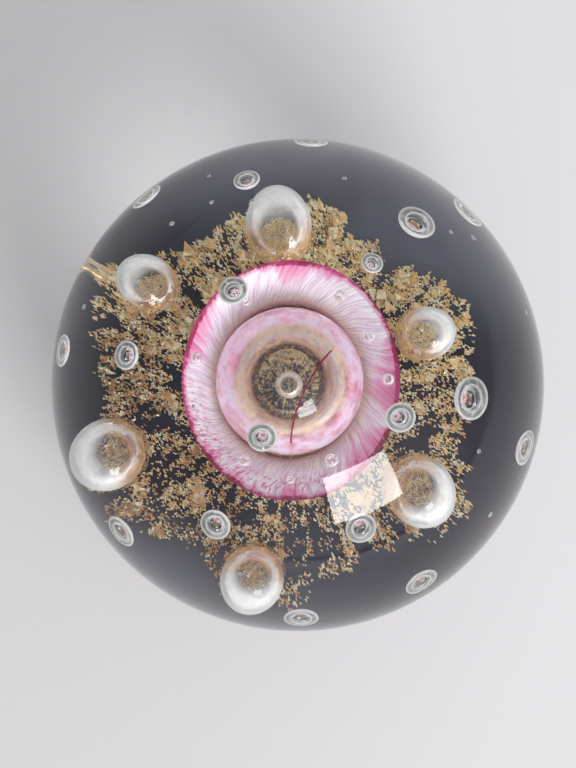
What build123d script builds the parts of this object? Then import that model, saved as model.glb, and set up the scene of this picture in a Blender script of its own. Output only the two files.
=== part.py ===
from build123d import *
import math
import os

# Round glass desk paperweight, in millimetres.
# +Z is up, and the origin is the middle of the flat base on the surface it stands on.
# Bearings are degrees counter-clockwise from +X, seen from above.

# ---------------------------------------------------------------- driving dimensions
ball_radius = 40.0
height = 68.0
base_edge_round = 1.2
dish_radius = 12.0
dish_depth = 0.9

casing_thickness = 6.0        # the last gather of clear glass
foot_thickness = 3.0          # clear glass under the dark ground
ground_crown = 10.0           # top of the dark ground above the base
ground_fall = 3.0             # how far its top drops towards the edge
ground_fall_radius = 24.0

leaf_thickness = 0.2
leaf_radius = 17.3
leaf_lobe = 1.0               # how far its six lobes stand out
leaf_centre = (0.2, 1.2)
leaf_points = 24              # points round its outline
flake_count = 36
flake_thickness = 0.12
flake_lift = 0.7              # gap between the leaf and the loose flakes over it
flake_size = 0.9
flake_size_swing = 0.35       # how much larger or smaller a flake may be
flake_tilt = 6.0              # degrees
bare_flakes = 4               # flakes left out of the middle, under the heart bubble

bubble_height = 14.0          # centres of the large bubbles above the base
heart_radius = 3.7            # the seventh of the set, under the cup
heart_centre = (0.2, 1.5, 14.0)
core_radius = 8.0             # the bubble in the middle of the cup
core_centre = (-0.7, 0.7, 26.0)

# The cup stands round the middle bubble. Its heights are from that bubble's centre.
cup_foot_radius = 8.4
cup_foot_height = -6.0
cup_side_radius = 10.3
cup_side_height = -0.6
cup_lip_radius = 12.8
cup_lip_height = 4.2
cup_skin = 0.6
veil_thickness = 0.7
cup_oval = 1.05               # the cup is a little longer along Y
cup_lean = 8.0                # degrees that it leans
cup_lean_bearing = 246.0      # and which way
thread_radius = 0.1
thread_points = ((3.45, 3.2, 33.4), (0.3, -1.5, 34.5), (-1.0, -7.0, 31.0))

# ---------------------------------------------------------------- worked out from them
ball_centre_z = height - ball_radius
gather_radius = ball_radius - casing_thickness
ground_dome_radius = (ground_fall_radius ** 2 + ground_fall ** 2) / (2 * ground_fall)
ground_dome_z = ground_crown - ground_dome_radius
petal_bearing = 28.0          # the first of the six large bubbles

# Large bubbles round the cup: bearing, distance from the axis, radius.
large_bubbles = [
    (28, 15.3, 2.6),
    (92, 17.2, 3.2),
    (138, 17.6, 2.6),
    (196, 18.0, 3.4),
    (259, 17.6, 3.1),
    (328, 15.4, 3.3),
]

# Small bubbles trapped on the gather: bearing, angle down from the top, radius.
crown_bubbles = [
    (58, 25, 1.5),
    (144, 24, 2.0),
    (238, 24, 2.0),
    (322, 25, 2.1),
]
shoulder_bubbles = [
    (53, 45, 2.7),
    (109, 52, 1.9),
    (179, 48, 2.0),
    (240, 50, 2.2),
    (286, 45, 2.2),
    (346, 41, 2.9),
]
girdle_bubbles = [
    (45, 71, 2.6),
    (88, 74, 2.4),
    (131, 76, 2.4),
    (174, 79, 2.3),
    (221, 78, 2.4),
    (270, 80, 2.5),
    (300, 76, 2.5),
    (342, 72, 2.6),
]

# Seeds, the tiny stray bubbles in the casing: bearing, angle down from the top, radius.
seed_bubbles = [
    (80, 45, 0.35),
    (43, 47, 0.35),
    (38, 54, 0.45),
    (112, 39, 0.35),
    (123, 45, 0.35),
    (118, 56, 0.3),
    (136, 48, 0.4),
    (205, 30, 0.3),
    (331, 46, 0.35),
    (322, 66, 0.45),
    (15, 64, 0.35),
    (252, 58, 0.35),
    (305, 33, 0.3),
    (165, 64, 0.4),
]
seed_shell = 37.5             # how far the seeds lie from the ball's centre

# Bubbles caught over the cup's lip: bearing round the cup, distance from its axis, radius.
cup_bubbles = [
    (60, 11.0, 0.7),
    (30, 9.9, 0.8),
    (1, 10.9, 0.7),
    (120, 10.2, 0.5),
    (167, 11.0, 0.7),
    (240, 10.5, 0.7),
    (270, 11.2, 0.5),
    (297, 10.1, 0.8),
]
cup_bubble_height = 5.6

GLASS = Color(0.86, 0.90, 0.92, 0.25)
AIR = Color(0.97, 0.98, 1.00, 0.45)
NAVY = Color(0.05, 0.05, 0.08)
GOLD = Color(0.80, 0.62, 0.32)
PINK = Color(0.72, 0.10, 0.38)
WHITE = Color(0.95, 0.88, 0.92)

pieces = {}


def keep(name, shape, colour):
    """Names a piece, and writes it out at the end."""
    shape.label = name
    shape.color = colour
    pieces[name] = shape


def on_bearing(bearing, radius, z):
    """A point at a bearing and distance from the axis, z above the base."""
    angle = math.radians(bearing)
    return (radius * math.cos(angle), radius * math.sin(angle), z)


def on_shell(bearing, down, shell):
    """A point on a sphere about the ball's centre, so many degrees down from its top."""
    angle = math.radians(down)
    z = ball_centre_z + shell * math.cos(angle)
    return on_bearing(bearing, shell * math.sin(angle), z)


def ball_at(point, radius):
    """A whole sphere of air or glass."""
    return Pos(*point) * Sphere(radius)


def slab(low, high):
    """All the space between two levels."""
    size = 3 * ball_radius
    return Pos(0, 0, (low + high) / 2) * Box(size, size, high - low)


def about_core(shape):
    """Leans a shape that was made about the origin, and moves it to the middle bubble."""
    lean_axis = Axis((0, 0, 0), on_bearing(cup_lean_bearing + 90, 1, 0))
    return Pos(*core_centre) * shape.rotate(lean_axis, cup_lean)


# ---------------------------------------------------------------- bubbles of trapped air
def make_bubbles():
    """The middle bubble, the heart under it, the six large ones and the three small rings."""
    keep("central_bubble", ball_at(core_centre, core_radius), AIR)
    keep("heart_bubble", ball_at(heart_centre, heart_radius), AIR)
    for index, (bearing, away, radius) in enumerate(large_bubbles, 1):
        point = on_bearing(bearing, away, bubble_height)
        keep(f"large_bubble_{index}", ball_at(point, radius), AIR)
    rings = {"crown": crown_bubbles, "shoulder": shoulder_bubbles, "girdle": girdle_bubbles}
    for ring, bubbles in rings.items():
        for index, (bearing, down, radius) in enumerate(bubbles, 1):
            point = on_shell(bearing, down, gather_radius)
            keep(f"{ring}_bubble_{index}", ball_at(point, radius), AIR)


def make_seeds():
    """Two groups of tiny bubbles: strays in the casing, and those over the cup's lip."""
    strays = [ball_at(on_shell(b, down, seed_shell), r) for b, down, r in seed_bubbles]
    keep("seed_bubbles", Compound(children=strays), AIR)
    caught = []
    for bearing, away, radius in cup_bubbles:
        point = on_bearing(bearing, away, cup_bubble_height)
        caught.append(about_core(ball_at(point, radius)))
    keep("cup_bubbles", Compound(children=caught), AIR)


# ---------------------------------------------------------------- coloured layers
def ground_dome(lift):
    """A ball whose top is the dark ground's crown, raised by lift."""
    return Pos(0, 0, ground_dome_z) * Sphere(ground_dome_radius + lift)


def gather_ball():
    """The ball of clear glass and dark ground inside the casing, cut off flat at its foot."""
    ball = Pos(0, 0, ball_centre_z) * Sphere(gather_radius)
    return ball & slab(foot_thickness, height)


def make_ground():
    """The dark glass pad that closes the bottom of the gather."""
    keep("dark_ground", gather_ball() & ground_dome(0), NAVY)


def make_gold():
    """The broken gold leaf on the ground, and the loose flakes that float over it."""
    middle = Pos(*leaf_centre)
    points = []
    for step in range(leaf_points):
        bearing = 360 * step / leaf_points
        lobe = leaf_lobe * math.cos(math.radians(6 * (bearing - petal_bearing)))
        points.append(on_bearing(bearing, leaf_radius + lobe, 0)[:2])
    outline = make_face(Spline(*points, periodic=True))
    column = middle * extrude(outline, height)
    skin = ground_dome(leaf_thickness) - ground_dome(0)
    keep("gold_leaf", skin & column, GOLD)

    flakes = []
    golden_angle = 137.5
    for index in range(flake_count):
        share = (index + bare_flakes) / (flake_count + bare_flakes)
        away = leaf_radius * math.sqrt(share)
        bearing = golden_angle * index
        place = middle * Pos(*on_bearing(bearing, away, 0))
        drop = (place.position.X ** 2 + place.position.Y ** 2) / (2 * ground_dome_radius)
        z = ground_crown - drop + leaf_thickness + flake_lift
        size = flake_size + flake_size_swing * math.sin(2.1 * index)
        plate = extrude(RegularPolygon(size / 2, 5), flake_thickness)
        lean = Rot(flake_tilt * math.sin(1.7 * index), flake_tilt * math.cos(1.3 * index), bearing)
        flakes.append(place * Pos(0, 0, z) * lean * plate)
    keep("gold_flakes", Compound(children=flakes), GOLD)


def cup_line(inset):
    """The cup's side as an arc from foot to lip, moved in from its outer face by inset."""
    foot = (cup_foot_radius - inset, cup_foot_height)
    side = (cup_side_radius - inset, cup_side_height)
    lip = (cup_lip_radius - inset, cup_lip_height)
    return foot, side, lip


def cup_shell(outer, inner):
    """An open-ended oval shell of revolution between two insets of the cup's side."""
    outside = cup_line(outer)
    inside = cup_line(inner)
    with BuildSketch(Plane.XZ) as profile:
        with BuildLine():
            ThreePointArc(*outside)
            Line(outside[-1], inside[-1])
            ThreePointArc(*inside)
            Line(inside[0], outside[0])
        make_face()
    turned = revolve(profile.sketch, Axis.Z)
    return about_core(scale(turned, by=(1 / cup_oval, cup_oval, 1)))


def make_cup():
    """The pink cup, and the white veil that lines it up to the middle bubble."""
    keep("pink_cup", cup_shell(0, cup_skin), PINK)
    keep("white_veil", cup_shell(cup_skin, cup_skin + veil_thickness), WHITE)


def make_thread():
    """One stray pink thread that arches over the middle bubble."""
    path = ThreePointArc(*thread_points)
    section = Plane(origin=path @ 0, z_dir=path % 0) * Circle(thread_radius)
    keep("pink_thread", sweep(section, path), PINK)


# ---------------------------------------------------------------- clear glass
def make_gather():
    """The inner ball of clear glass, with a cavity for everything set in it."""
    outside_it = ("dark_ground", "seed_bubbles", "pink_cup", "white_veil")
    set_in = [piece for name, piece in pieces.items() if name not in outside_it]
    clear = gather_ball() - ground_dome(0)
    clear = clear - cup_shell(0, cup_skin + veil_thickness)
    clear = clear - set_in
    keep("inner_gather", clear, GLASS)


def make_casing():
    """The outer clear glass: round, flat under, with a shallow ground-out dish."""
    ball = Pos(0, 0, ball_centre_z) * Sphere(ball_radius)
    body = ball & slab(0, 2 * height)
    body = fillet(body.edges().filter_by(GeomType.CIRCLE).sort_by(Axis.Z)[0], base_edge_round)
    dish_ball = (dish_radius ** 2 + dish_depth ** 2) / (2 * dish_depth)
    body = body - Pos(0, 0, dish_depth - dish_ball) * Sphere(dish_ball)
    body = body - gather_ball()
    rings = ("shoulder", "crown", "girdle", "seed")
    body = body - [piece for name, piece in pieces.items() if name.startswith(rings)]
    keep("outer_casing", body, GLASS)


make_bubbles()
make_seeds()
make_ground()
make_gold()
make_cup()
make_thread()
make_gather()
make_casing()

os.makedirs("parts", exist_ok=True)
for name, piece in pieces.items():
    export_step(piece, f"parts/{name}.step")
print(len(pieces), "nodes")
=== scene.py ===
"""A glass paperweight: clear glass over a pink cup, gold leaf and trapped bubbles."""
import math
import random

import bmesh
import bpy
from mathutils import Matrix, Vector, noise


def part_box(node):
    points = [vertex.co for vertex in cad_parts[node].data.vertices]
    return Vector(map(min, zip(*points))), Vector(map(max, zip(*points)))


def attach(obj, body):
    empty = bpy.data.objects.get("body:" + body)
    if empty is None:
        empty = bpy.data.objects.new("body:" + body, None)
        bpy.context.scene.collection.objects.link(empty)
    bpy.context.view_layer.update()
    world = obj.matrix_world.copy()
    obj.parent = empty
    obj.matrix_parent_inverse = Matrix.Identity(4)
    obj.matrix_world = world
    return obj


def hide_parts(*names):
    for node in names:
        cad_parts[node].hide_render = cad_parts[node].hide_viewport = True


bl_info = {
    "name": "Glass Paperweight",
    "version": (1, 0, 0),
    "blender": (4, 5, 0),
    "location": "View3D > Sidebar > Paperweight",
    "description": "Builds a glass paperweight with a pink cup, gold leaf and bubbles",
    "category": "Add Mesh",
}

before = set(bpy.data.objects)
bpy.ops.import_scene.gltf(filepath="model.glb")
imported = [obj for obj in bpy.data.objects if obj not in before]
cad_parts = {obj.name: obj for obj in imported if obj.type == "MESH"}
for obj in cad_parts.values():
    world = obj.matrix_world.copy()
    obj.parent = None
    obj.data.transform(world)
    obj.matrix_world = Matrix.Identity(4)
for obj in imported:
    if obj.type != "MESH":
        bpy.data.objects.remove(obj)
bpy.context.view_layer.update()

MM = 0.001
AIR_NODES = sorted(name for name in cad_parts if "bubble" in name)


# ---------------------------------------------------------------- places from the frame
def middle(node):
    """The centre of a CAD node's box."""
    low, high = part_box(node)
    return (low + high) / 2


def half_width(node):
    """Half the width of a CAD node along X."""
    low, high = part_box(node)
    return (high.x - low.x) / 2


BALL_RADIUS = half_width("outer_casing")
BALL_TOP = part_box("outer_casing")[1].z
BALL_CENTRE = Vector((0, 0, BALL_TOP - BALL_RADIUS))
GROUND_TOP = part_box("dark_ground")[1].z
GROUND_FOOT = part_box("dark_ground")[0].z
GATHER_RADIUS = half_width("inner_gather")
CORE = middle("central_bubble")


class PaperweightSizes(bpy.types.PropertyGroup):
    """Sizes that a maker would change, all in metres."""
    dish_radius: bpy.props.FloatProperty(
        name="Dish radius", description="Radius of the ground-out dish under the base",
        default=12 * MM, unit="LENGTH")
    dish_depth: bpy.props.FloatProperty(
        name="Dish depth", description="How deep the dish under the base is",
        default=0.9 * MM, unit="LENGTH")
    base_round: bpy.props.FloatProperty(
        name="Base edge", description="Rounding of the edge of the flat base",
        default=1.2 * MM, unit="LENGTH")
    ground_dome: bpy.props.FloatProperty(
        name="Ground dome", description="Radius of the dark ground's domed top",
        default=97.5 * MM, unit="LENGTH")
    leaf_radius: bpy.props.FloatProperty(
        name="Leaf radius", description="Mean radius of the gold leaf on the ground",
        default=17.3 * MM, unit="LENGTH")
    leaf_lobe: bpy.props.FloatProperty(
        name="Leaf lobe", description="How far the leaf's six lobes stand out",
        default=1.0 * MM, unit="LENGTH")
    leaf_shift: bpy.props.FloatVectorProperty(
        name="Leaf shift", description="Where the middle of the leaf lies", size=2,
        default=(0.2 * MM, 1.2 * MM), subtype="TRANSLATION", unit="LENGTH")
    cup_foot: bpy.props.FloatVectorProperty(
        name="Cup foot", description="Radius and height of the cup's foot about the middle bubble",
        size=2, default=(8.4 * MM, -6.0 * MM), unit="LENGTH")
    cup_side: bpy.props.FloatVectorProperty(
        name="Cup side", description="Radius and height half way up the cup's side",
        size=2, default=(10.3 * MM, -0.6 * MM), unit="LENGTH")
    cup_lip: bpy.props.FloatVectorProperty(
        name="Cup lip", description="Radius and height of the cup's lip",
        size=2, default=(12.8 * MM, 4.2 * MM), unit="LENGTH")
    cup_skin: bpy.props.FloatProperty(
        name="Cup skin", description="Thickness of the pink skin of the cup",
        default=0.6 * MM, unit="LENGTH")
    veil: bpy.props.FloatProperty(
        name="Veil", description="Thickness of the white veil that lines the cup",
        default=0.7 * MM, unit="LENGTH")
    lip_slope: bpy.props.FloatProperty(
        name="Lip slope", description="How steeply the lip falls towards the middle of the cup",
        default=0.8)
    cup_oval: bpy.props.FloatProperty(
        name="Cup oval", description="How much longer the cup is along Y than its mean radius",
        default=1.05)
    cup_lean: bpy.props.FloatProperty(
        name="Cup lean", description="How far the cup leans",
        default=math.radians(8), subtype="ANGLE", unit="ROTATION")
    cup_lean_bearing: bpy.props.FloatProperty(
        name="Lean bearing", description="Which way the cup leans",
        default=math.radians(246), subtype="ANGLE", unit="ROTATION")


class PaperweightColours(bpy.types.PropertyGroup):
    """Colours of the glasses and the leaf."""
    ground: bpy.props.FloatVectorProperty(
        name="Ground", description="Dark glass of the ground", subtype="COLOR",
        default=(0.013, 0.016, 0.036))
    haze: bpy.props.FloatVectorProperty(
        name="Haze", description="Purple haze in the ground", subtype="COLOR",
        default=(0.06, 0.035, 0.075))
    # The lighter grey painted on one side of the ground: painted light.
    painted_light: bpy.props.FloatVectorProperty(
        name="Painted_light", description="Grey smoke in the ground", subtype="COLOR",
        default=(0.135, 0.145, 0.185))
    leaf: bpy.props.FloatVectorProperty(
        name="Leaf", description="Gold leaf", subtype="COLOR",
        default=(1.0, 0.73, 0.33))
    leaf_dark: bpy.props.FloatVectorProperty(
        name="Tarnish", description="Tarnished leaf", subtype="COLOR",
        default=(0.58, 0.32, 0.12))
    # Pale gold of the scraps that catch the light: a painted highlight.
    leaf_bright: bpy.props.FloatVectorProperty(
        name="Bright leaf", description="Leaf that lies flat and bright", subtype="COLOR",
        default=(1.0, 0.94, 0.66))
    magenta: bpy.props.FloatVectorProperty(
        name="Magenta", description="Deep pink of the cup's rim", subtype="COLOR",
        default=(0.30, 0.006, 0.06))
    pink: bpy.props.FloatVectorProperty(
        name="Pink", description="Pink of the streaks", subtype="COLOR",
        default=(0.82, 0.26, 0.48))
    rose: bpy.props.FloatVectorProperty(
        name="Rose", description="Bright pink between the rim and the streaks", subtype="COLOR",
        default=(0.62, 0.06, 0.24))
    lip: bpy.props.FloatVectorProperty(
        name="Lip", description="Pale pink where the skin thins out over the lip",
        subtype="COLOR", default=(0.85, 0.50, 0.66))
    # Painted shade between the veil's white threads; it also tints the painted pink reflection in the
    # middle bubble.
    lilac: bpy.props.FloatVectorProperty(
        name="Lilac", description="Shade between the white threads", subtype="COLOR",
        default=(0.74, 0.62, 0.76))
    amber: bpy.props.FloatVectorProperty(
        name="Amber", description="Gold showing through the cup's foot and in the bubbles",
        subtype="COLOR", default=(0.40, 0.20, 0.11))
    ember: bpy.props.FloatVectorProperty(
        name="Ember", description="Dark brown of the cup's foot, where gold dust lies on it",
        subtype="COLOR", default=(0.13, 0.06, 0.05))
    white: bpy.props.FloatVectorProperty(
        name="White", description="White of the veil", subtype="COLOR",
        default=(0.97, 0.94, 0.97))


def sizes():
    """This scene's sizes."""
    return bpy.context.scene.paperweight_sizes


def colours():
    """This scene's colours."""
    return bpy.context.scene.paperweight_colours


# ---------------------------------------------------------------- shader maths
class Value:
    """A number that varies over a surface. Sums on it add Math nodes."""

    def __init__(self, shading, socket):
        self.shading = shading
        self.socket = socket

    def maths(self, operation, *others, clamp=False):
        """This value and others put through one Math node."""
        values = dict(enumerate((self, *others)))
        settings = {"operation": operation, "use_clamp": clamp}
        return self.shading.node("ShaderNodeMath", settings, values)

    def __add__(self, other):
        return self.maths("ADD", other)

    def __radd__(self, other):
        return self.maths("ADD", other)

    def __mul__(self, other):
        return self.maths("MULTIPLY", other)

    def __rmul__(self, other):
        return self.maths("MULTIPLY", other)

    def __sub__(self, other):
        return self.maths("SUBTRACT", other)

    def __rsub__(self, other):
        return (self * -1) + other

    def __truediv__(self, other):
        return self.maths("DIVIDE", other)

    def __pow__(self, other):
        return self.maths("POWER", other)

    def between(self, low, high):
        """0 at low, 1 at high, and smooth between."""
        settings = {"interpolation_type": "SMOOTHSTEP"}
        values = {"Value": self, "From Min": low, "From Max": high}
        return self.shading.node("ShaderNodeMapRange", settings, values)


class Shading:
    """The nodes of a material or of the world, about the shader it starts with."""

    def __init__(self, block, shader="Principled BSDF", **constants):
        self.block = block
        block.use_nodes = True
        self.nodes = block.node_tree.nodes
        self.links = block.node_tree.links
        self.surface = self.nodes[shader]
        for socket, value in constants.items():
            self.surface.inputs[socket.replace("_", " ")].default_value = value

    def find(self, sockets, key):
        """A socket by its place, its identifier or its name."""
        if isinstance(key, int):
            return sockets[key]
        for socket in sockets:
            if socket.identifier == key:
                return socket
        return sockets[key]

    def node(self, kind, settings=None, values=None, outlet=0):
        """Adds a node. Settings come first, then its sockets' values or links."""
        made = self.nodes.new(kind)
        for key, value in (settings or {}).items():
            if key == "stops":
                self.set_stops(made.color_ramp, value)
            else:
                setattr(made, key, value)
        for key, value in (values or {}).items():
            self.feed(self.find(made.inputs, key), value)
        return Value(self, self.find(made.outputs, outlet))

    def set_stops(self, ramp, stops):
        """Gives a colour ramp its stops, each a place and a colour."""
        while len(ramp.elements) < len(stops):
            ramp.elements.new(1)
        for element, (place, colour) in zip(ramp.elements, stops):
            element.position = place
            element.color = (*colour, 1)

    def feed(self, socket, value):
        """Sets a socket, or links it."""
        if isinstance(value, Value):
            self.links.new(value.socket, socket)
        elif socket.type == "RGBA" and len(value) == 3:
            socket.default_value = (*value, 1)
        else:
            socket.default_value = value

    def put(self, **inputs):
        """Feeds what varies to the surface shader."""
        for socket, value in inputs.items():
            self.feed(self.surface.inputs[socket.replace("_", " ")], value)

    def place(self, centre=(0, 0, 0), turn=(0, 0, 0)):
        """Object coordinates about a centre, along axes turned by turn."""
        place = self.node("ShaderNodeTexCoord", outlet="Object")
        values = {"Vector": place, "Location": centre, "Rotation": turn}
        return self.node("ShaderNodeMapping", {"vector_type": "TEXTURE"}, values)

    def noise(self, scale, detail=3.0, roughness=0.55, vector=None, distortion=0.0):
        """Soft noise, so many lumps to the metre."""
        values = {"Scale": scale, "Detail": detail, "Roughness": roughness,
                  "Distortion": distortion, "Vector": vector or self.place()}
        return self.node("ShaderNodeTexNoise", None, values)

    def cells(self, scale, vector=None):
        """A number that is the same all over each small cell."""
        values = {"Scale": scale, "Vector": vector or self.place()}
        colour = self.node("ShaderNodeTexVoronoi", None, values, "Color")
        return self.node("ShaderNodeSeparateColor", None, {0: colour})

    def blend(self, factor, first, second):
        """One colour fading to another."""
        settings = {"data_type": "RGBA"}
        values = {"Factor_Float": factor, "A_Color": first, "B_Color": second}
        return self.node("ShaderNodeMix", settings, values, "Result_Color")

    def attribute(self, name):
        """A number that the mesh holds at each point."""
        return self.node("ShaderNodeAttribute", {"attribute_name": name}, outlet="Fac")

    def bump(self, height, strength, distance):
        """A normal from a height."""
        values = {"Height": height, "Strength": strength, "Distance": distance}
        return self.node("ShaderNodeBump", None, values)

    def axes(self, vector):
        """The three parts of a vector."""
        return [self.node("ShaderNodeSeparateXYZ", None, {0: vector}, part) for part in "XYZ"]

    def join(self, x, y, z):
        """A vector from three numbers."""
        return self.node("ShaderNodeCombineXYZ", None, {"X": x, "Y": y, "Z": z})


def new_material(name, **constants):
    """A material with a Principled shader and the constants given."""
    return Shading(bpy.data.materials.new(name), **constants)


def clear_glass():
    """Bright clear glass with the faintest ripple left by the wet paper pad."""
    glass = new_material("clear_glass", Transmission_Weight=1.0, IOR=1.5)
    glass.put(Base_Color=glass.blend(glass.noise(30), (1, 1, 1), (0.985, 0.993, 1.0)))
    film = glass.noise(260, 4).between(0.62, 0.8)
    glass.put(Roughness=film * 0.012)
    glass.put(Normal=glass.bump(glass.noise(55, 1), 0.04, 0.4 * MM))
    return glass.block


def bubble_glass():
    """The wall of a bubble: clear where it has no film, and a painted silvery highlight where it
    turns away. Where it is milky or turns away, it takes a pearly shader that glows faintly: painted
    reflection and glow over a real milky film.
    """
    wall = new_material("bubble_glass", Transmission_Weight=1.0, IOR=1.5)
    haze = wall.noise(900, 3).between(0.35, 0.8)
    patchy = wall.noise(420, 4).between(0.3, 0.62)
    film = wall.attribute("film")
    wall.put(Roughness=film * 0.12 + haze * 0.02)
    wall.put(Base_Color=wall.blend(haze, (1, 1, 1), (0.97, 0.985, 0.98)))
    # The pearly white is a painted reflection of the room's light in the milky wall, over its real
    # haze.
    painted_pearl_white = wall.blend(haze, (0.86, 0.88, 0.86), (0.97, 0.96, 0.93))
    warm = wall.blend(patchy, colours().amber, (0.66, 0.45, 0.27))
    tinted = wall.blend(wall.attribute("gilt"), painted_pearl_white, warm)
    # Painted reflection: the cup's pink and lilac painted into the wall where the pink layer is set.
    blush = wall.attribute("blush") * (patchy * 0.35 + 0.65)
    golden = wall.blend(blush, tinted, wall.blend(patchy, colours().pink, colours().lilac))
    # The pearly shader is painted reflection and painted glow: a diffuse colour that also glows
    # faintly.
    values = {"Roughness": 0.3, "Emission Strength": 0.26,
              "Base Color": golden, "Emission Color": golden}
    painted_pearl_glow = wall.node("ShaderNodeBsdfPrincipled", None, values)
    facing = wall.node("ShaderNodeLayerWeight", None, {"Blend": 0.5}, "Facing")
    # Painted rim highlight: the wall is mixed towards the pearly shader where it turns away from the
    # view.
    rim = facing.between(0.28, 0.66) * wall.attribute("silver")
    share = rim.maths("MAXIMUM", film * (0.45 + patchy * 0.5))
    clear = Value(wall, wall.surface.outputs[0])
    mixed = wall.node("ShaderNodeMixShader", None, {0: share, 1: clear, 2: painted_pearl_glow})
    wall.feed(wall.nodes["Material Output"].inputs["Surface"], mixed)
    return wall.block


def ground_glass():
    """Dark navy glass, painted a lighter grey towards one side as painted light, with a purple haze
    in the middle.
    """
    ground = new_material("ground_glass", Roughness=0.45, IOR=1.08)
    x, y, z = ground.axes(ground.place())
    # Painted light: the ground is painted a lighter grey along a fixed lean, where more light falls
    # on it.
    away = (y - 2 * MM).maths("ABSOLUTE")
    lean = (away - 7 * MM) * 64 + x * y * 2400 + y * 10 + ground.noise(45, 3) * 0.6 - 0.3
    painted_light_side = ground.blend(lean.between(0.0, 1.0), colours().ground, colours().painted_light)
    cloud = ground.noise(70, 4, vector=ground.place((0.002, 0.011, 0))).between(0.45, 0.75)
    ground.put(Base_Color=ground.blend(cloud * 0.55, painted_light_side, colours().haze))
    ground.put(Normal=ground.bump(ground.noise(300, 3), 0.05, 0.2 * MM))
    return ground.block


def gold_leaf(name, shine):
    """Crinkled metal leaf: each scrap has its own tone, and a few catch the light: these are
    smoother, and their pale colour is a painted highlight.
    """
    gold = new_material(name, Metallic=0.5)
    tone = gold.cells(2400)
    x, y, z = gold.axes(gold.place())
    # Darker leaf in noisy patches, and more of it towards -x and -y.
    darkening = (gold.noise(260, 3) - x * 6 - y * 6).between(0.40, 0.72)
    dull = gold.blend(darkening, colours().leaf, colours().leaf_dark)
    # The palest scraps are painted bright: tone at random, and a painted highlight for scraps that
    # catch the light.
    gold.put(Base_Color=gold.blend(tone.between(0.45, 0.85), dull, colours().leaf_bright))
    gold.put(Roughness=0.5 - tone * shine)
    gold.put(Normal=gold.bump(gold.noise(5200, 2), 0.6, 0.06 * MM))
    return gold.block


def cup_turn():
    """The turn that leans the cup over."""
    bearing = sizes().cup_lean_bearing
    axis = Vector((-math.sin(bearing), math.cos(bearing), 0))
    return Matrix.Rotation(sizes().cup_lean, 4, axis)


def cup_places(shading):
    """Where a point is on the cup: its axes, its distance out, and its height up the wall."""
    x, y, z = shading.axes(shading.place(CORE, cup_turn().to_euler()))
    x = x * sizes().cup_oval
    y = y / sizes().cup_oval
    away = (x * x + y * y) ** 0.5
    low = sizes().cup_foot[1]
    rise = (z - low) / (sizes().cup_lip[1] - low)
    return x, y, away, rise


def drawn_streaks(shading, fineness, run, seed):
    """Fine streaks that run up the wall of the cup and swirl a little as they go."""
    x, y, away, rise = cup_places(shading)
    turn = rise * 0.35 + shading.noise(90, 2) * 0.28
    sine = turn.maths("SINE")
    cosine = turn.maths("COSINE")
    across = (x * cosine - y * sine) / away
    along = (x * sine + y * cosine) / away
    vector = shading.join(across * fineness, along * fineness, rise * run + seed)
    return shading.noise(1.0, 5, 0.65, vector)


def lip_tongue(shading, fineness, reach):
    """How far a point is inside the lip's pink: over 1 at the lip, and streaky below it."""
    x, y, away, rise = cup_places(shading)
    around = shading.noise(1.0, 3, vector=shading.join(x / away * 1.7, y / away * 1.7, 0))
    inside = (away * -1 + sizes().cup_lip[0]) * (1 / MM)
    length = around.between(0.36, 0.70) * reach + 0.3
    streak = drawn_streaks(shading, fineness, 0.8, 9)
    return 1 - inside / length + (streak - 0.5) * 2.2


def pink_glass():
    """The cup's pink skin: dark magenta outside, broken into paler streaks over the lip."""
    pink = new_material("pink_glass", Roughness=0.4, IOR=1.15)
    tongue = lip_tongue(pink, 34, 2.0)
    deep = pink.blend(pink.noise(240, 3).between(0.35, 0.65), colours().magenta, colours().rose)
    paler = pink.blend(tongue.between(0.75, 0.0), deep, colours().lip)
    pink.put(Base_Color=paler)
    pink.put(Normal=pink.bump(drawn_streaks(pink, 34, 3, 0), 0.3, 0.15 * MM))
    return pink.block


def white_glass():
    """The veil: white glass drawn into hair-fine threads, with tongues of pink from the lip. It also
    glows faintly in its own colour: painted light that lifts the shade deep in the cup.
    """
    veil = new_material("white_glass", Roughness=0.4, IOR=1.15, Emission_Strength=0.09)
    x, y, away, rise = cup_places(veil)
    hair = drawn_streaks(veil, 62, 2.5, 3)
    # The lilac between the white threads is painted shade.
    grey = veil.blend(hair.between(0.42, 0.60), colours().white, colours().lilac)
    tongue = lip_tongue(veil, 30, 4.2)
    pinker = veil.blend(tongue.between(-0.1, 0.7) * 0.85, grey, colours().pink)
    rosy = veil.blend(tongue.between(0.55, 1.2) * 0.85, pinker, colours().rose)
    low_side = (y * -70 - x * 35 + veil.noise(110, 3)).between(0.55, 1.2)
    speckle = drawn_streaks(veil, 40, 14, 5).between(0.50, 0.60)
    mottle = speckle * low_side * rise.between(0.6, 0.8)
    spotted = veil.blend(mottle * 0.75, rosy, colours().rose)
    blushed = veil.blend(rise.between(0.40, 0.32) * 0.6, spotted, colours().pink)
    dusted = veil.blend(veil.cells(1700).between(0.62, 0.78), colours().ember, colours().leaf_dark)
    shade = veil.blend(rise.between(0.33, 0.20), blushed, dusted)
    # The emission is painted glow: the veil lit in its own colour.
    veil.put(Base_Color=shade, Emission_Color=shade)
    veil.put(Normal=veil.bump(hair, 0.35, 0.12 * MM))
    return veil.block


def thread_glass():
    """The stray thread of deep pink glass."""
    thread = new_material("thread_glass", Roughness=0.35, IOR=1.1)
    thin = thread.noise(600, 2).between(0.35, 0.7)
    thread.put(Base_Color=thread.blend(thin, colours().magenta, (0.22, 0.004, 0.03)))
    return thread.block


# ---------------------------------------------------------------- modelling helpers
def clear_selection():
    """Leaves edit mode with nothing selected."""
    if bpy.context.object and bpy.context.object.mode != "OBJECT":
        bpy.ops.object.mode_set(mode="OBJECT")
    bpy.ops.object.select_all(action="DESELECT")


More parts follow.
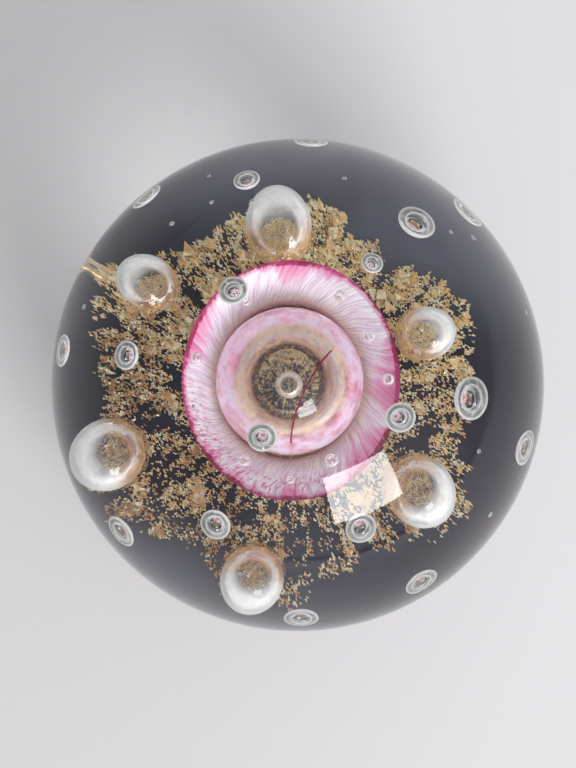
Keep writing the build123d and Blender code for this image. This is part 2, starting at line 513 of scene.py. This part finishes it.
def started(name):
    """The primitive just added, under its own name."""
    piece = bpy.context.object
    piece.name = name
    piece.data.name = name
    return piece


def select_faces(piece, wanted):
    """Selects the faces that wanted(centre, normal) is true for. Leaves edit mode on."""
    bpy.ops.object.mode_set(mode="EDIT")
    bpy.ops.mesh.select_mode(type="FACE")
    bpy.ops.mesh.select_all(action="DESELECT")
    mesh = bmesh.from_edit_mesh(piece.data)
    for face in mesh.faces:
        face.select_set(wanted(face.calc_center_median(), face.normal))
    bmesh.update_edit_mesh(piece.data)


def finish_piece(piece, material, slot, *nodes, smooth=None):
    """Settles a piece at the origin with its material, riding on the object."""
    clear_selection()
    piece.select_set(True)
    bpy.context.view_layer.objects.active = piece
    bpy.ops.object.transform_apply(location=True, rotation=True, scale=True)
    if smooth is None:
        bpy.ops.object.shade_smooth()
    else:
        bpy.ops.object.shade_smooth_by_angle(angle=math.radians(smooth))
    if material:
        piece.data.materials.clear()
        piece.data.materials.append(material)
    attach(piece, "root")
    if nodes:
        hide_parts(*nodes)
    clear_selection()


def apply_modifier(piece, kind, **settings):
    """Adds a modifier and applies it."""
    bpy.context.view_layer.objects.active = piece
    modifier = piece.modifiers.new(kind.title(), kind)
    for key, value in settings.items():
        setattr(modifier, key, value)
    bpy.ops.object.modifier_apply(modifier=modifier.name)


def lathe(name, profile, centre, segments, closed):
    """A ring drawn up a profile of (radius, height) points by extruding and resizing."""
    clear_selection()
    radius, height = profile[0]
    bpy.ops.mesh.primitive_circle_add(
        vertices=segments, radius=radius, location=(centre.x, centre.y, height))
    piece = started(name)
    bpy.ops.object.mode_set(mode="EDIT")
    bpy.ops.mesh.select_mode(type="EDGE")
    bpy.ops.mesh.select_all(action="SELECT")
    for new_radius, new_height in profile[1:]:
        rise = {"value": (0, 0, new_height - height)}
        bpy.ops.mesh.extrude_region_move(TRANSFORM_OT_translate=rise)
        grow = new_radius / radius
        about = (centre.x, centre.y, new_height)
        bpy.ops.transform.resize(value=(grow, grow, 1), center_override=about)
        radius, height = new_radius, new_height
    if closed:
        bpy.ops.mesh.select_all(action="DESELECT")
        bpy.ops.mesh.select_mode(type="EDGE")
        bpy.ops.mesh.select_non_manifold()
        bpy.ops.mesh.bridge_edge_loops()
        bpy.ops.mesh.select_all(action="SELECT")
        bpy.ops.mesh.normals_make_consistent(inside=False)
    bpy.ops.object.mode_set(mode="OBJECT")
    return piece


def arc(first, second, third, steps):
    """Points on the circle through three (radius, height) points."""
    (ax, ay), (bx, by), (cx, cy) = first, second, third
    d = 2 * (ax * (by - cy) + bx * (cy - ay) + cx * (ay - by))
    ux = ((ax**2 + ay**2) * (by - cy) + (bx**2 + by**2) * (cy - ay) + (cx**2 + cy**2) * (ay - by)) / d
    uy = ((ax**2 + ay**2) * (cx - bx) + (bx**2 + by**2) * (ax - cx) + (cx**2 + cy**2) * (bx - ax)) / d
    radius = math.hypot(ax - ux, ay - uy)
    begin = math.atan2(ay - uy, ax - ux)
    turn = math.atan2(cy - uy, cx - ux) - begin
    turn = math.atan2(math.sin(turn), math.cos(turn))
    angles = [begin + turn * step / steps for step in range(steps + 1)]
    return [(ux + radius * math.cos(a), uy + radius * math.sin(a)) for a in angles]


def ground_height(away):
    """Height of the dark ground's domed top at a distance from the axis."""
    dome = sizes().ground_dome
    return GROUND_TOP - dome + math.sqrt(dome ** 2 - away ** 2)


# ---------------------------------------------------------------- bubbles in the glass
def bubble_spots(node):
    """Centre and radius of each bubble in a CAD node, which may hold several."""
    mesh = bmesh.new()
    mesh.from_mesh(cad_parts[node].data)
    bmesh.ops.remove_doubles(mesh, verts=mesh.verts, dist=1e-6)
    left = set(mesh.verts)
    spots = []
    while left:
        group = {left.pop()}
        edge = set(group)
        while edge:
            near = {e.other_vert(v) for v in edge for e in v.link_edges}
            edge = near - group
            group |= edge
        left -= group
        low = Vector([min(v.co[i] for v in group) for i in range(3)])
        high = Vector([max(v.co[i] for v in group) for i in range(3)])
        spots.append(((low + high) / 2, (high.z - low.z) / 2))
    mesh.free()
    return sorted(spots, key=lambda spot: tuple(spot[0]))


def ramp(value, low, high):
    """0 below low, 1 above high, and straight between."""
    return min(1.0, max(0.0, (value - low) / (high - low)))


def hollow(node, centre, radius, segments, wild, material):
    """One void in the glass, facing inwards, with what its wall carries at each point.

    The rim layer is how bright a painted highlight makes the wall where it turns away, film how milky
    it is, gilt how far gold tints it, and the pink layer how far the cup's pink is painted on as a
    reflection. Where the wall is milky it also shows a painted pearly reflection. The large bubbles
    are milky on the side away from the cup and gilt on the side towards it. The middle one wears a
    belt of the cup's pink, a painted reflection of the cup, with an amber edge, and is clear on top.
    """
    clear_selection()
    bpy.ops.mesh.primitive_uv_sphere_add(
        segments=segments, ring_count=segments // 2, radius=radius, location=centre)
    piece = started("void")
    bpy.ops.object.mode_set(mode="EDIT")
    bpy.ops.mesh.select_all(action="SELECT")
    squeeze = 1 + wild * 0.04
    bpy.ops.transform.resize(value=(squeeze, 1 / squeeze, 1), center_override=centre)
    bpy.ops.mesh.flip_normals()
    bpy.ops.object.mode_set(mode="OBJECT")
    piece.data.materials.append(material)
    film, gilt, blush, silver = wall_layers(piece)
    # How bright each kind of bubble's painted rim highlight is.
    shine = {"central_bubble": 0.0, "heart_bubble": 0.9, "cup_bubbles": 0.45}.get(node, 0.8)
    outward = Vector((centre.x, centre.y, 0)).normalized()
    top = cup_turn() @ Vector((0, 0, 1))
    for index, vertex in enumerate(piece.data.vertices):
        facing = vertex.co.normalized()
        rise = facing.dot(top)
        side = math.sqrt(max(0.0, 1 - rise ** 2))
        away = facing.dot(outward)
        silver[index].value = shine
        if node == "heart_bubble":
            gilt[index].value = 0.8
            film[index].value = 0.95 * ramp(side, 0.55, 0.72) * ramp(rise, -0.3, 0.0)
        elif node == "central_bubble":
            gilt[index].value = 1.0
            # The belt of pink and milky white round its side is a painted reflection of the cup.
            blush[index].value = ramp(side, 0.72, 0.86)
            film[index].value = ramp(side, 0.58, 0.74)
            if rise < 0:
                blush[index].value = 0.0
                film[index].value = ramp(rise, -0.42, -0.25)
        elif node.startswith("large"):
            gilt[index].value = ramp(away, 0.35, -0.2)
            # The milky side also takes the painted pearly reflection.
            film[index].value = 0.85 * ramp(side, 0.45, 0.8)
            if rise < 0:
                film[index].value = 0.6 * ramp(away, 0.2, 0.8)
            vertex.co.z -= radius * 0.16 * max(0.0, -facing.z) ** 4
        elif node != "cup_bubbles" and rise > 0:
            # A milky top, with the painted pearly reflection over it.
            film[index].value = 0.38 * ramp(side, 0.45, 0.7)
    return piece


def wall_layers(piece):
    """The numbers that a bubble's wall carries at each point: its milky film, its gilt, its painted
    pink reflection and its painted rim highlight.
    """
    layers = piece.data.attributes
    names = ("film", "gilt", "blush", "silver")
    for name in names:
        layers.new(name, "FLOAT", "POINT")
    return [layers[name].data for name in names]


class PAPERWEIGHT_OT_glass(bpy.types.Operator):
    """Builds the ball of clear glass with a void for every trapped bubble"""
    bl_idname = "paperweight.glass"
    bl_label = "Clear glass"

    def execute(self, context):
        clear_selection()
        bpy.ops.mesh.primitive_uv_sphere_add(
            segments=160, ring_count=96, radius=BALL_RADIUS, location=BALL_CENTRE)
        ball = started("glass_ball")
        bpy.ops.object.mode_set(mode="EDIT")
        bpy.ops.mesh.select_all(action="SELECT")
        bpy.ops.mesh.bisect(
            plane_co=(0, 0, 0), plane_no=(0, 0, 1), clear_inner=True, use_fill=True)
        low = -BALL_CENTRE.z + 0.01 * MM
        select_faces(ball, lambda centre, normal: centre.z < low and normal.z < -0.99)
        bpy.ops.mesh.bevel(offset=sizes().base_round, segments=5, affect="EDGES")
        bpy.ops.object.mode_set(mode="OBJECT")
        select_faces(ball, lambda centre, normal: centre.z < low and normal.z < -0.999)
        flat = max(
            math.hypot(v.co.x, v.co.y) for f in bmesh.from_edit_mesh(ball.data).faces
            if f.select for v in f.verts)
        bpy.ops.mesh.inset(thickness=flat - sizes().dish_radius)
        steps = 8
        for step in range(steps):
            bpy.ops.mesh.inset(thickness=sizes().dish_radius / (steps + 1))
            fall = ((steps - step) ** 2 - (steps - step - 1) ** 2) / steps ** 2
            bpy.ops.transform.translate(value=(0, 0, sizes().dish_depth * fall))
        bpy.ops.mesh.poke()
        bpy.ops.object.mode_set(mode="OBJECT")

        wall = bubble_glass()
        ball.data.materials.append(clear_glass())
        wall_layers(ball)
        draw = random.Random(5)
        hollows = []
        for node in AIR_NODES:
            for centre, radius in bubble_spots(node):
                large = node.startswith("large")
                segments = 96 if node == "central_bubble" else 48 if large else 32
                if radius < 1.2 * MM:
                    segments = 16
                wild = draw.uniform(-1, 1) if radius < 3.5 * MM else 0
                hollows.append(hollow(node, centre, radius, segments, wild, wall))
        clear_selection()
        for piece in hollows:
            piece.select_set(True)
        ball.select_set(True)
        context.view_layer.objects.active = ball
        bpy.ops.object.join()
        replaced = [*AIR_NODES, "outer_casing", "inner_gather"]
        finish_piece(ball, None, "clear_glass", *replaced, smooth=35)
        return {"FINISHED"}


class PAPERWEIGHT_OT_ground(bpy.types.Operator):
    """Builds the domed pad of dark glass at the bottom of the ball"""
    bl_idname = "paperweight.ground"
    bl_label = "Dark ground"

    def execute(self, context):
        dome = sizes().ground_dome
        dome_centre = GROUND_TOP - dome
        between = BALL_CENTRE.z - dome_centre
        meeting = ((dome ** 2 - GATHER_RADIUS ** 2) / between + dome_centre + BALL_CENTRE.z) / 2
        levels = [GROUND_FOOT + (meeting - GROUND_FOOT) * step / 8 for step in range(9)]
        side = [(math.sqrt(GATHER_RADIUS ** 2 - (BALL_CENTRE.z - z) ** 2), z) for z in levels]
        edge = side[-1][0]
        tops = [edge * (1 - step / 40) for step in range(1, 40)]
        profile = [(1 * MM, GROUND_FOOT), *side, *[(r, ground_height(r)) for r in tops]]
        ground = lathe("dark_ground_pad", profile, Vector((0, 0, 0)), 128, False)
        bpy.ops.object.mode_set(mode="EDIT")
        bpy.ops.mesh.select_all(action="DESELECT")
        bpy.ops.mesh.select_mode(type="EDGE")
        bpy.ops.mesh.select_non_manifold()
        bpy.ops.mesh.edge_face_add()
        bpy.ops.mesh.select_all(action="SELECT")
        bpy.ops.mesh.normals_make_consistent(inside=False)
        bpy.ops.object.mode_set(mode="OBJECT")
        swell = bpy.data.textures.new("ground_swell", "CLOUDS")
        swell.noise_scale = 9 * MM
        apply_modifier(ground, "DISPLACE", texture=swell, strength=0.5 * MM,
                       mid_level=0.7, texture_coords="LOCAL")
        finish_piece(ground, ground_glass(), "navy_glass", "dark_ground")
        return {"FINISHED"}


# ---------------------------------------------------------------- gold leaf
def leaf_reach(bearing):
    """How far the gold leaf reaches at a bearing, with its six lobes and its ragged edge."""
    first_lobe = math.radians(28)
    lobe = sizes().leaf_lobe * math.cos(6 * (bearing - first_lobe))
    around = Vector((math.cos(bearing), math.sin(bearing), 0))
    ragged = noise.noise(around * 9) * 0.9 * MM + noise.noise(around * 40) * 0.4 * MM
    return sizes().leaf_radius + lobe + ragged


def leaf_cover(point, fill):
    """The share of the ground that leaf covers at a point."""
    spot = Vector((point.x - sizes().leaf_shift[0], point.y - sizes().leaf_shift[1], 0))
    away = spot.length
    bearing = math.atan2(spot.y, spot.x)
    if away > leaf_reach(bearing):
        return 0.0
    streaky = Vector((math.cos(bearing) * 14, math.sin(bearing) * 14, away * 180))
    clump = noise.fractal(streaky, 0.8, 2.0, 3) + 1.2 * noise.fractal(point * 560, 0.7, 2.0, 2)
    thin = -0.22 * spot.y / leaf_reach(bearing)
    if away < 9 * MM:
        thin += 0.22
    return fill + 0.5 * clump - thin


def scatter(name, pitch, fill, thickness, tilt, lift, seed):
    """A carpet of leaf scraps: a grid torn apart, thinned, shaken and draped on the ground."""
    clear_selection()
    reach = sizes().leaf_radius + 3.2 * MM
    count = int(2 * reach / pitch)
    bpy.ops.mesh.primitive_grid_add(
        x_subdivisions=count, y_subdivisions=count, size=2 * reach,
        location=(*sizes().leaf_shift, 0))
    piece = started(name)
    bpy.ops.object.transform_apply(location=True, rotation=False, scale=False)
    draw = random.Random(seed)
    bpy.ops.object.mode_set(mode="EDIT")
    bpy.ops.mesh.select_all(action="SELECT")
    bpy.ops.mesh.quads_convert_to_tris(quad_method="SHORTEST_DIAGONAL")
    select_faces(piece, lambda centre, normal: draw.random() > leaf_cover(centre, fill))
    bpy.ops.mesh.delete(type="FACE")
    bpy.ops.mesh.select_all(action="SELECT")
    bpy.ops.mesh.edge_split(type="EDGE")
    bpy.ops.transform.vertex_random(offset=pitch * 0.5, seed=seed)
    bpy.ops.object.mode_set(mode="OBJECT")
    for vertex in piece.data.vertices:
        away = math.hypot(vertex.co.x, vertex.co.y)
        vertex.co.z = ground_height(away) + lift + vertex.co.z * tilt
    apply_modifier(piece, "SOLIDIFY", thickness=thickness, offset=0)
    return piece


def line_bubbles(name, nodes, pitch, seed):
    """Scraps of leaf that cling to the lower sides of the large bubbles."""
    draw = random.Random(seed)
    parts = []
    for node in nodes:
        centre = middle(node)
        radius = half_width(node) * 1.06 + 0.1 * MM
        segments = int(2 * math.pi * radius / pitch)
        clear_selection()
        bpy.ops.mesh.primitive_uv_sphere_add(
            segments=segments, ring_count=segments // 2, radius=radius, location=centre)
        part = started("lining")
        inward = -Vector((centre.x, centre.y, 0)).normalized()

        def bare(spot, normal):
            low = -spot.z / radius
            inside = spot.normalized().dot(inward)
            return draw.random() > 0.3 * low + 0.6 * inside + 0.05

        select_faces(part, bare)
        bpy.ops.mesh.delete(type="FACE")
        bpy.ops.mesh.select_all(action="SELECT")
        bpy.ops.mesh.edge_split(type="EDGE")
        bpy.ops.transform.vertex_random(offset=pitch * 0.35, seed=seed)
        bpy.ops.object.mode_set(mode="OBJECT")
        parts.append(part)
    clear_selection()
    for part in parts:
        part.select_set(True)
    bpy.context.view_layer.objects.active = parts[0]
    bpy.ops.object.join()
    piece = started(name)
    return piece


class PAPERWEIGHT_OT_gold(bpy.types.Operator):
    """Scatters the broken gold leaf over the ground and along the large bubbles"""
    bl_idname = "paperweight.gold"
    bl_label = "Gold leaf"

    def execute(self, context):
        fine = scatter("gold_specks", 0.21 * MM, 0.44, 0.03 * MM, 1.0, 0.25 * MM, 3)
        finish_piece(fine, gold_leaf("leaf_specks", 0.15), "gold_leaf", "gold_leaf", smooth=20)
        broad = scatter("gold_flecks", 0.32 * MM, 0.07, 0.04 * MM, 1.0, 0.5 * MM, 8)
        finish_piece(broad, gold_leaf("leaf_flecks", 0.25), "gold_leaf", smooth=20)
        coarse = scatter("gold_flakes_coarse", 0.9 * MM, -0.20, 0.06 * MM, 0.6, 0.9 * MM, 21)
        finish_piece(coarse, gold_leaf("leaf_flakes", 0.35), "gold_leaf", "gold_flakes", smooth=20)
        large = [name for name in AIR_NODES if name.startswith("large")]
        lining = line_bubbles("gold_linings", large, 0.24 * MM, 4)
        finish_piece(lining, gold_leaf("leaf_lining", 0.2), "gold_leaf", smooth=20)
        return {"FINISHED"}


# ---------------------------------------------------------------- the cup
def cup_wall(outer, inner):
    """A closed profile of the cup's wall between two insets from its outer face."""
    marks = (sizes().cup_foot, sizes().cup_side, sizes().cup_lip)
    lines = []
    for inset in (outer, inner):
        points = [(radius - inset, CORE.z + height) for radius, height in marks]
        points[-1] = (points[-1][0], points[-1][1] - inset * sizes().lip_slope)
        lines.append(arc(*points, 28))
    return lines[0] + lines[1][::-1]


class PAPERWEIGHT_OT_cup(bpy.types.Operator):
    """Draws up the pink cup and the white veil that lines it"""
    bl_idname = "paperweight.cup"
    bl_label = "Pink cup and veil"

    def execute(self, context):
        skin = sizes().cup_skin
        layers = (
            ("pink_cup_skin", 0, skin, pink_glass(), "pink_glass", "pink_cup"),
            ("white_cup_veil", skin, skin + sizes().veil, white_glass(), "white_veil", "white_veil"),
        )
        for name, outer, inner, material, slot, node in layers:
            piece = lathe(name, cup_wall(outer, inner), CORE, 192, True)
            oval = sizes().cup_oval
            bpy.ops.object.mode_set(mode="EDIT")
            bpy.ops.mesh.select_all(action="SELECT")
            bpy.ops.transform.resize(value=(1 / oval, oval, 1), center_override=CORE)
            bpy.ops.object.mode_set(mode="OBJECT")
            to_core = Matrix.Translation(CORE)
            piece.matrix_world = to_core @ cup_turn() @ to_core.inverted() @ piece.matrix_world
            finish_piece(piece, material, slot, node, smooth=50)
        return {"FINISHED"}


class PAPERWEIGHT_OT_thread(bpy.types.Operator):
    """Gives the stray thread over the bubble its pink glass"""
    bl_idname = "paperweight.thread"
    bl_label = "Pink thread"

    def execute(self, context):
        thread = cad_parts["pink_thread"]
        thread.data.materials.clear()
        thread.data.materials.append(thread_glass())
        return {"FINISHED"}


# ---------------------------------------------------------------- stage
CAMERA_BEARING = math.radians(243)
CAMERA_HEIGHT = math.radians(80.5)
CAMERA_AWAY = 240 * MM
FOCAL_LENGTH = 68.36


def camera_axes():
    """The camera's right, up and backward directions."""
    level = math.cos(CAMERA_HEIGHT)
    back = Vector((math.cos(CAMERA_BEARING) * level, math.sin(CAMERA_BEARING) * level,
                   math.sin(CAMERA_HEIGHT)))
    right = Vector((0, 1, 0)).cross(back).normalized()
    return right, back.cross(right), back


def paper():
    """The pale matt surface that the weight stands on, painted lighter towards +x and +y as painted
    light.
    """
    sheet = new_material("pale_surface", Roughness=0.7)
    x, y, z = sheet.axes(sheet.place())
    # Painted light: the floor is lighter towards +x and +y and darker towards the camera's side.
    tone = (x * 5 + y * 3 + sheet.noise(6, 2) * 0.2 + 0.32).between(0.0, 1.0)
    sheet.put(Base_Color=sheet.blend(tone, (0.64, 0.632, 0.634), (0.75, 0.745, 0.75)))
    sheet.put(Normal=sheet.bump(sheet.noise(900, 3), 0.08, 0.2 * MM))
    return sheet.block


def add_window(direction, distance, size, power):
    """A window: an area lamp that faces the ball."""
    clear_selection()
    place = BALL_CENTRE + direction.normalized() * distance
    turn = direction.to_track_quat("Z", "Y").to_euler()
    bpy.ops.object.light_add(type="AREA", location=place, rotation=turn)
    lamp = bpy.context.object
    lamp.name = "window"
    lamp.data.shape = "RECTANGLE"
    lamp.data.size, lamp.data.size_y = size
    lamp.data.energy = power
    lamp.visible_camera = False


def room_light(window, base, bright):
    """The light of the room: pale all round, and brighter towards the window."""
    room = Shading(bpy.data.worlds.new("room"), "Background", Color=(0.98, 0.975, 1.0, 1))
    bpy.context.scene.world = room.block
    look = room.node("ShaderNodeTexCoord", outlet="Generated")
    towards = room.node("ShaderNodeVectorMath", {"operation": "DOT_PRODUCT"},
                        {0: look, 1: window.normalized()}, "Value")
    values = {"Value": towards, "From Min": math.cos(math.radians(62)), "From Max": 1.0,
              "To Min": base, "To Max": bright}
    room.put(Strength=room.node("ShaderNodeMapRange", {"interpolation_type": "SMOOTHERSTEP"}, values))


class PAPERWEIGHT_OT_stage(bpy.types.Operator):
    """Adds the pale surface, the soft light and the camera"""
    bl_idname = "paperweight.stage"
    bl_label = "Stage"

    def execute(self, context):
        clear_selection()
        bpy.ops.mesh.primitive_plane_add(size=6)
        floor = started("floor")
        floor.data.materials.append(paper())

        right, up, back = camera_axes()
        bpy.ops.object.camera_add()
        camera = context.object
        camera.name = "camera"
        camera.data.lens = FOCAL_LENGTH
        camera.data.sensor_width = 36
        camera.data.clip_start = 0.01
        aim = BALL_CENTRE - right * 1.56 * MM + up * 0.16 * MM
        turn = Matrix((right, up, back)).transposed().to_4x4()
        camera.matrix_world = Matrix.Translation(aim + back * CAMERA_AWAY) @ turn
        context.scene.camera = camera

        window = right * 0.429 - up * 0.692 + back * 0.581
        add_window(window, 0.9, (0.44, 0.38), 6.5)
        room_light(window, 0.53, 1.2)
        context.scene.view_settings.view_transform = "Standard"
        return {"FINISHED"}


class PAPERWEIGHT_PT_panel(bpy.types.Panel):
    """Lists the paperweight's pieces"""
    bl_idname = "PAPERWEIGHT_PT_panel"
    bl_label = "Paperweight"
    bl_space_type = "VIEW_3D"
    bl_region_type = "UI"
    bl_category = "Paperweight"

    def draw(self, context):
        for operator in OPERATORS:
            self.layout.operator(operator.bl_idname)
        for group in (context.scene.paperweight_sizes, context.scene.paperweight_colours):
            for name in group.__annotations__:
                self.layout.prop(group, name)


OPERATORS = (
    PAPERWEIGHT_OT_glass,
    PAPERWEIGHT_OT_ground,
    PAPERWEIGHT_OT_gold,
    PAPERWEIGHT_OT_cup,
    PAPERWEIGHT_OT_thread,
    PAPERWEIGHT_OT_stage,
)
CLASSES = (PaperweightSizes, PaperweightColours, *OPERATORS, PAPERWEIGHT_PT_panel)


def register():
    """Registers the classes and the scene's settings."""
    for cls in CLASSES:
        bpy.utils.register_class(cls)
    bpy.types.Scene.paperweight_sizes = bpy.props.PointerProperty(type=PaperweightSizes)
    bpy.types.Scene.paperweight_colours = bpy.props.PointerProperty(type=PaperweightColours)


def unregister():
    """Removes what register added."""
    del bpy.types.Scene.paperweight_sizes
    del bpy.types.Scene.paperweight_colours
    for cls in reversed(CLASSES):
        bpy.utils.unregister_class(cls)


def main():
    """Builds every piece in order."""
    register()
    bpy.ops.paperweight.glass()
    bpy.ops.paperweight.ground()
    bpy.ops.paperweight.gold()
    bpy.ops.paperweight.cup()
    bpy.ops.paperweight.thread()
    bpy.ops.paperweight.stage()


if __name__ == "__main__":
    main()
